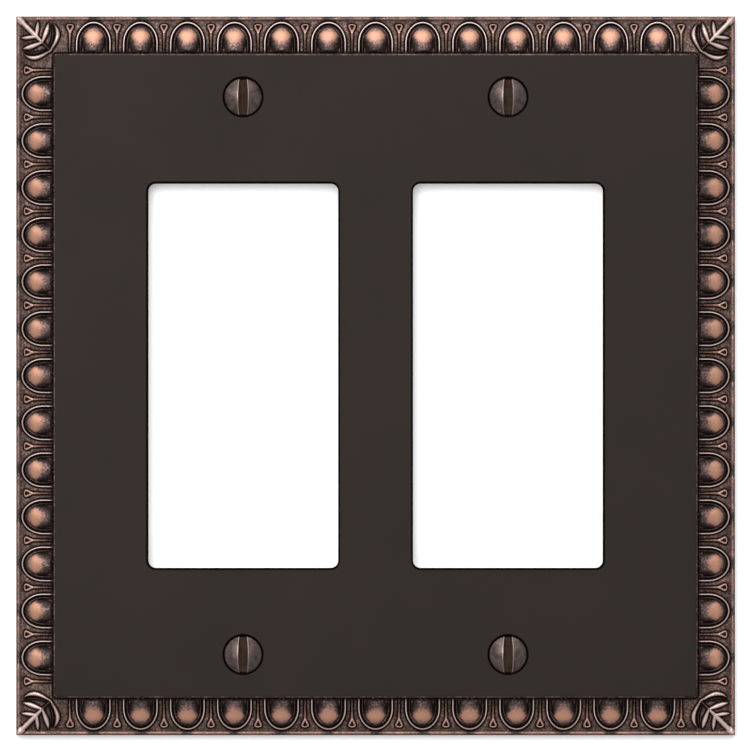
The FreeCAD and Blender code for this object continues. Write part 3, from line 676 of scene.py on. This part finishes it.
def build_screw(name, centre, front):
    """One screw at its place: head and neck with the slot cut, joined to the thread."""
    head, thread = head_blank(), thread_grid()
    cutter = Skin()
    reach, floor = HEAD_RADIUS * 1.2, SLOT_DEPTH - CROWN
    box = np.array([(side * slot_half(y), y, z) for side in (-1, 1) for y in (-2 * CROWN, floor)
                    for z in (-reach, reach)])
    cutter.add(box, [(0, 1, 3, 2), (4, 5, 7, 6), (0, 1, 5, 4), (2, 3, 7, 6), (0, 2, 6, 4), (1, 3, 7, 5)])
    tool = cutter.make("slot", SHARP)
    cut = head.modifiers.new("slot", "BOOLEAN")
    cut.object, cut.operation, cut.solver = tool, "DIFFERENCE", "EXACT"
    graph = bpy.context.evaluated_depsgraph_get()
    shape = bmesh.new()
    shape.from_mesh(bpy.data.meshes.new_from_object(head.evaluated_get(graph)))
    shape.from_mesh(thread.data)
    mesh = bpy.data.meshes.new(name)
    shape.to_mesh(mesh)
    shape.free()
    spots = np.array([v.co for v in mesh.vertices]) / MM
    # The slot's floor is painted dark: painted shade.
    on_floor = (np.abs(spots[:, 1] - floor) < 0.01) & (np.abs(spots[:, 0]) < SLOT_FLOOR / 2 + 0.01)
    crevice = np.where(on_floor, 1.0, 0.0)
    rub = np.where(spots[:, 1] < HEAD_EDGE, 0.38, np.where(spots[:, 1] > NECK_END, 0.5, 0.3))
    # Beside the slot's mouth the head is painted brighter: partly wear on its edges, partly a painted highlight
    # where a bevel would catch the light.
    beside = np.abs(spots[:, 0]) - slot_half(spots[:, 1])
    from_slot = np.where(on_floor | (spots[:, 1] > HEAD_EDGE), 1.0, beside)
    for label, values in (("rub", rub), ("crevice", crevice), ("behind", 0 * rub), ("from_slot", from_slot)):
        data = mesh.attributes.get(label) or mesh.attributes.new(label, "FLOAT", "POINT")
        data.data.foreach_set("value", values.astype(np.float32))
    mesh.transform(placement(centre, front))
    mesh.polygons.foreach_set("use_smooth", [True] * len(mesh.polygons))
    mesh.set_sharp_from_angle(angle=math.radians(SHARP))
    for used in (head, thread, tool):
        bpy.data.objects.remove(used)
    piece = bpy.data.objects.new(f"{name}_looks", mesh)
    bpy.context.scene.collection.objects.link(piece)
    return piece


def placement(centre, front):
    """Moves a screw from its own frame to its place in the shared frame."""
    return Matrix.Translation(Vector((centre[0], front, centre[1])) * MM)


# ---------------------------------------------------------------- materials

class Nodes:
    """Short ways to add and join a material's nodes."""

    def __init__(self, tree):
        self.tree = tree
        self.tree.nodes.clear()

    def add(self, kind, settings=None, **sockets):
        node = self.tree.nodes.new(kind)
        for name, value in (settings or {}).items():
            setattr(node, name, value)
        for name, value in sockets.items():
            socket = node.inputs[int(name[1:])] if name[0] == "_" else node.inputs[name.replace("__", " ")]
            if isinstance(value, bpy.types.NodeSocket):
                self.tree.links.new(value, socket)
            else:
                socket.default_value = value
        return node

    def mark(self, name):
        return self.add("ShaderNodeAttribute", {"attribute_name": name}).outputs["Fac"]

    def math(self, kind, first, second=0.0):
        return self.add("ShaderNodeMath", {"operation": kind}, _0=first, _1=second).outputs[0]

    def noise(self, where, scale, detail=3.0, rough=0.55):
        node = self.add("ShaderNodeTexNoise", None, Vector=where, Scale=scale, Detail=detail, Roughness=rough)
        return node.outputs["Fac"]

    def spread(self, value, low, high, to_low=0.0, to_high=1.0, kind="LINEAR"):
        node = self.add("ShaderNodeMapRange", {"interpolation_type": kind, "clamp": True}, _0=value, _1=low,
                        _2=high, _3=to_low, _4=to_high)
        return node.outputs[0]

    def blend(self, share, first, second):
        node = self.add("ShaderNodeMix", {"data_type": "RGBA"}, _0=share, _6=first, _7=second)
        return node.outputs[2]


def metal(name, coats, wear_and_highlight_colours, crevice_colour, back_colour, roughness, metallic, cloud_scale,
          slotted=False):
    """Aged metal: a dark coat, rubbed through to brighter metal in the rubbed places.

    The coats are two tones that mix in clouds. The bared colours go from barely rubbed to fully rubbed, and
    last comes a pale painted highlight, for crests with wear above 1. A slotted piece is also brighter along
    its slot, partly from wear and partly as a painted highlight. Crevices are darkened: patina and painted
    shade.
    """
    material = bpy.data.materials.new(name)
    material.use_nodes = True
    n = Nodes(material.node_tree)
    where = n.add("ShaderNodeTexCoord").outputs["Object"]
    rub, crevice, behind = n.mark("rub"), n.mark("crevice"), n.mark("behind")
    grain = n.noise(where, GRAIN, 2.0)
    fleck = n.noise(where, FLECK, 3.0, 0.6)
    patch = n.noise(where, PATCH, 3.0)
    cloud = n.noise(where, cloud_scale, 3.0)

    half_patch = n.math("MULTIPLY", n.math("SUBTRACT", patch, 0.5), 0.5)
    unevenness = n.math("ADD", n.math("SUBTRACT", fleck, 0.5), half_patch)
    unevenness = n.math("MULTIPLY", unevenness, n.spread(rub, 0.35, 0.6, 0.65, 0.45))
    if slotted:
        # Along the slot's mouth the metal is painted brighter: partly wear, partly a painted highlight.
        rub = n.math("ADD", rub, n.spread(n.mark("from_slot"), 0.06, 0.2, 0.8, 0.0))
    wear_and_highlight_level = n.spread(n.math("ADD", rub, n.math("MULTIPLY", unevenness, n.spread(rub, 0.0, 0.25))), 0.15, 0.95,
                    kind="SMOOTHSTEP")
    wear_and_highlight_level = n.math("MULTIPLY", wear_and_highlight_level, n.spread(crevice, 0.2, 0.9, 1.0, 0.0))

    coat = n.blend(n.spread(cloud, 0.3, 0.7), *coats)
    coat = n.blend(n.math("MULTIPLY", behind, n.spread(patch, 0.35, 0.65, 0.75, 1.0)), coat, back_colour)
    # Crevices are darkened towards a dark colour: patina and painted shade in the relief's hollows, and painted
    # shade on the openings' edges and walls, in the countersinks, the screw holes and the screws' slots.
    coat = n.blend(n.spread(crevice, 0.0, 1.0, 0.0, 0.9), coat, crevice_colour)
    bared_and_highlight = n.blend(n.spread(wear_and_highlight_level, 0.25, 0.6), wear_and_highlight_colours[0], wear_and_highlight_colours[1])
    bared_and_highlight = n.blend(n.spread(n.math("ADD", wear_and_highlight_level, n.math("MULTIPLY", unevenness, 0.3)), 0.5, 1.0), bared_and_highlight,
                    wear_and_highlight_colours[2])
    # Wear above 1 blends to the palest colour: a painted highlight on crests.
    bared_and_highlight = n.blend(n.spread(rub, 1.05, 1.6), bared_and_highlight, wear_and_highlight_colours[3])
    colour = n.blend(n.spread(wear_and_highlight_level, 0.0, 0.35), coat, bared_and_highlight)

    rough = n.math("ADD", n.spread(wear_and_highlight_level, 0.0, 1.0, roughness, 0.37),
                   n.math("MULTIPLY", n.math("SUBTRACT", grain, 0.5), 0.12))
    rough = n.math("ADD", rough, n.math("MULTIPLY", behind, 0.16))
    rough = n.math("MAXIMUM", rough, n.spread(crevice, 0.0, 1.0, 0.0, 0.85))
    bump_height = n.math("ADD", n.math("MULTIPLY", grain, n.spread(rub, 0.0, 0.3, 0.12, 0.5)),
                         n.math("MULTIPLY", fleck, n.spread(rub, 0.0, 0.3, 0.05, 1.0)))
    bump_height = n.math("ADD", bump_height, n.math("MULTIPLY", patch, n.math("MULTIPLY", behind, 2.2)))
    bump = n.add("ShaderNodeBump", None, Strength=0.35, Distance=0.06 * MM, Height=bump_height).outputs[0]
    shine = n.math("MULTIPLY", n.spread(wear_and_highlight_level, 0.0, 1.0, metallic, 0.75),
                   n.spread(crevice, 0.0, 1.0, 1.0, 0.2))
    shader = n.add("ShaderNodeBsdfPrincipled", None, Base__Color=colour, Roughness=rough, Metallic=shine,
                   Normal=bump)
    n.tree.links.new(n.spread(crevice, 0.0, 0.9, 0.12, 0.0), shader.inputs["Specular IOR Level"])
    n.add("ShaderNodeOutputMaterial", None, Surface=shader.outputs[0])
    return material


# ---------------------------------------------------------------- the studio

def build_wall():
    """A plain white wall, cut away behind the casting so that the back can be looked at.

    White cards fill the openings just behind their collars, so that soft shadows show there.
    """
    reach, height, tuck, card_gap = 90.0, -0.3, 0.6, 0.1
    square = np.array([(1, 1), (-1, 1), (-1, -1), (1, -1)])
    rows = [lift(square * reach, height), lift(square * (HALF - tuck), height)]
    faces = [(i, (i + 1) % 4, 4 + (i + 1) % 4, 4 + i) for i in range(4)]
    for centre in OPENINGS:
        card = lift(opening(centre, card_gap), COLLAR_END - card_gap)
        start = sum(len(row) for row in rows)
        faces.append(tuple(range(start, start + len(card))))
        rows.append(card)
    mesh = bpy.data.meshes.new("wall")
    mesh.from_pydata((np.vstack(rows) * MM).tolist(), [], faces)
    wall = bpy.data.objects.new("wall", mesh)
    bpy.context.scene.collection.objects.link(wall)
    wall.visible_diffuse = wall.visible_glossy = wall.visible_shadow = False
    paint = bpy.data.materials.new("wall_paint")
    paint.use_nodes = True
    n = Nodes(paint.node_tree)
    matt = n.add("ShaderNodeBsdfDiffuse").outputs[0]
    own_light = n.add("ShaderNodeEmission", None, Color=(1, 1, 1, 1), Strength=0.22).outputs[0]
    surface = n.add("ShaderNodeAddShader", None, _0=matt, _1=own_light).outputs[0]
    n.add("ShaderNodeOutputMaterial", None, Surface=surface)
    mesh.materials.append(paint)


def build_studio():
    """A soft sky, brightest above the front, a key light, a light for the back, and the camera."""
    scene = bpy.context.scene
    world = bpy.data.worlds.new("studio")
    scene.world = world
    world.use_nodes = True
    n = Nodes(world.node_tree)
    facing = n.add("ShaderNodeTexCoord").outputs["Generated"]
    lit_from = Vector((-0.14, -0.42, 0.85)).normalized()
    toward = n.add("ShaderNodeVectorMath", {"operation": "DOT_PRODUCT"}, _0=facing, _1=lit_from)
    glow = n.spread(toward.outputs["Value"], 0.4, 1.0, 0.5, 1.9, "SMOOTHSTEP")
    sky = n.add("ShaderNodeBackground", None, Color=(1, 1, 1, 1), Strength=glow).outputs[0]
    plain = n.add("ShaderNodeBackground", None, Color=(1, 1, 1, 1), Strength=1.0).outputs[0]
    seen = n.add("ShaderNodeLightPath").outputs["Is Camera Ray"]
    surface = n.add("ShaderNodeMixShader", None, _0=seen, _1=sky, _2=plain).outputs[0]
    n.add("ShaderNodeOutputWorld", None, Surface=surface)

    lamps = (("key", (-0.34, -1.9, 0.48), 1.1, 31.0),
             ("back_fill", (0.9, 1.5, 1.1), 0.9, 31.0))
    for name, place, size, energy in lamps:
        light = bpy.data.lights.new(name, "AREA")
        light.size, light.energy = size, energy
        lamp = bpy.data.objects.new(name, light)
        lamp.location = place
        lamp.rotation_euler = (-lamp.location).to_track_quat("-Z", "Y").to_euler()
        scene.collection.objects.link(lamp)

    camera = bpy.data.cameras.new("camera")
    camera.lens, camera.sensor_width = 450.0, 36.0
    camera.clip_start, camera.clip_end = 0.01, 10.0
    view = bpy.data.objects.new("camera", camera)
    seen_width, aside, above = 130.4, -0.1, 0.14
    away = seen_width * camera.lens / camera.sensor_width + FIELD / 2
    view.location = Vector((aside, -away, above)) * MM
    view.rotation_euler = (math.radians(90), 0.0, 0.0)
    scene.collection.objects.link(view)
    scene.camera = view
    scene.view_settings.view_transform = "Standard"


# ---------------------------------------------------------------- the object

for leftover in list(bpy.data.objects):
    bpy.data.objects.remove(leftover)
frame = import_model()
low, high = (np.array(v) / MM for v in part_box("cover_plate"))
HALF, FIELD = float(high[0]), float(-low[1])
CORNER = HALF - PITCH * EGGS / 2
SCREWS, tips = {}, {}
for node in sorted(n for n in frame["nodes"] if n.startswith("screw")):
    low, high = (np.array(v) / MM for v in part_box(node))
    SCREWS[node] = ((low[0] + high[0]) / 2, (low[2] + high[2]) / 2)
    tips[node] = float(high[1])
OPENINGS = [np.array((SCREWS[node][0], 0.0)) for node in ("screw_top_left", "screw_top_right")]

bronze = metal(
    "aged_bronze_casting",
    coats=[(0.0135, 0.009, 0.0072, 1), (0.0155, 0.0105, 0.0084, 1)],
    wear_and_highlight_colours=[(0.125, 0.082, 0.075, 1), (0.35, 0.19, 0.15, 1), (0.6, 0.305, 0.2, 1),
                  (0.74, 0.6, 0.57, 1)],
    crevice_colour=(0.0012, 0.001, 0.001, 1), back_colour=(0.17, 0.145, 0.125, 1),
    roughness=0.5, metallic=0.3, cloud_scale=45.0)
screw_metal = metal(
    "bronzed_screws",
    coats=[(0.026, 0.015, 0.013, 1), (0.2, 0.15, 0.14, 1)],
    wear_and_highlight_colours=[(0.075, 0.055, 0.05, 1), (0.15, 0.115, 0.105, 1), (0.21, 0.165, 0.15, 1),
                  (0.38, 0.3, 0.27, 1)],
    crevice_colour=(0.028, 0.016, 0.0095, 1), back_colour=(0.1, 0.08, 0.07, 1),
    roughness=0.36, metallic=0.65, cloud_scale=900.0, slotted=True)

cover = build_cover()
cover.data.materials.append(bronze)
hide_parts("cover_plate")
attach(cover, "plate")
for node, centre in SCREWS.items():
    screw = build_screw(node, centre, tips[node] - SCREW_LENGTH)
    screw.data.materials.append(screw_metal)
    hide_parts(node)
    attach(screw, node)

build_wall()
build_studio()
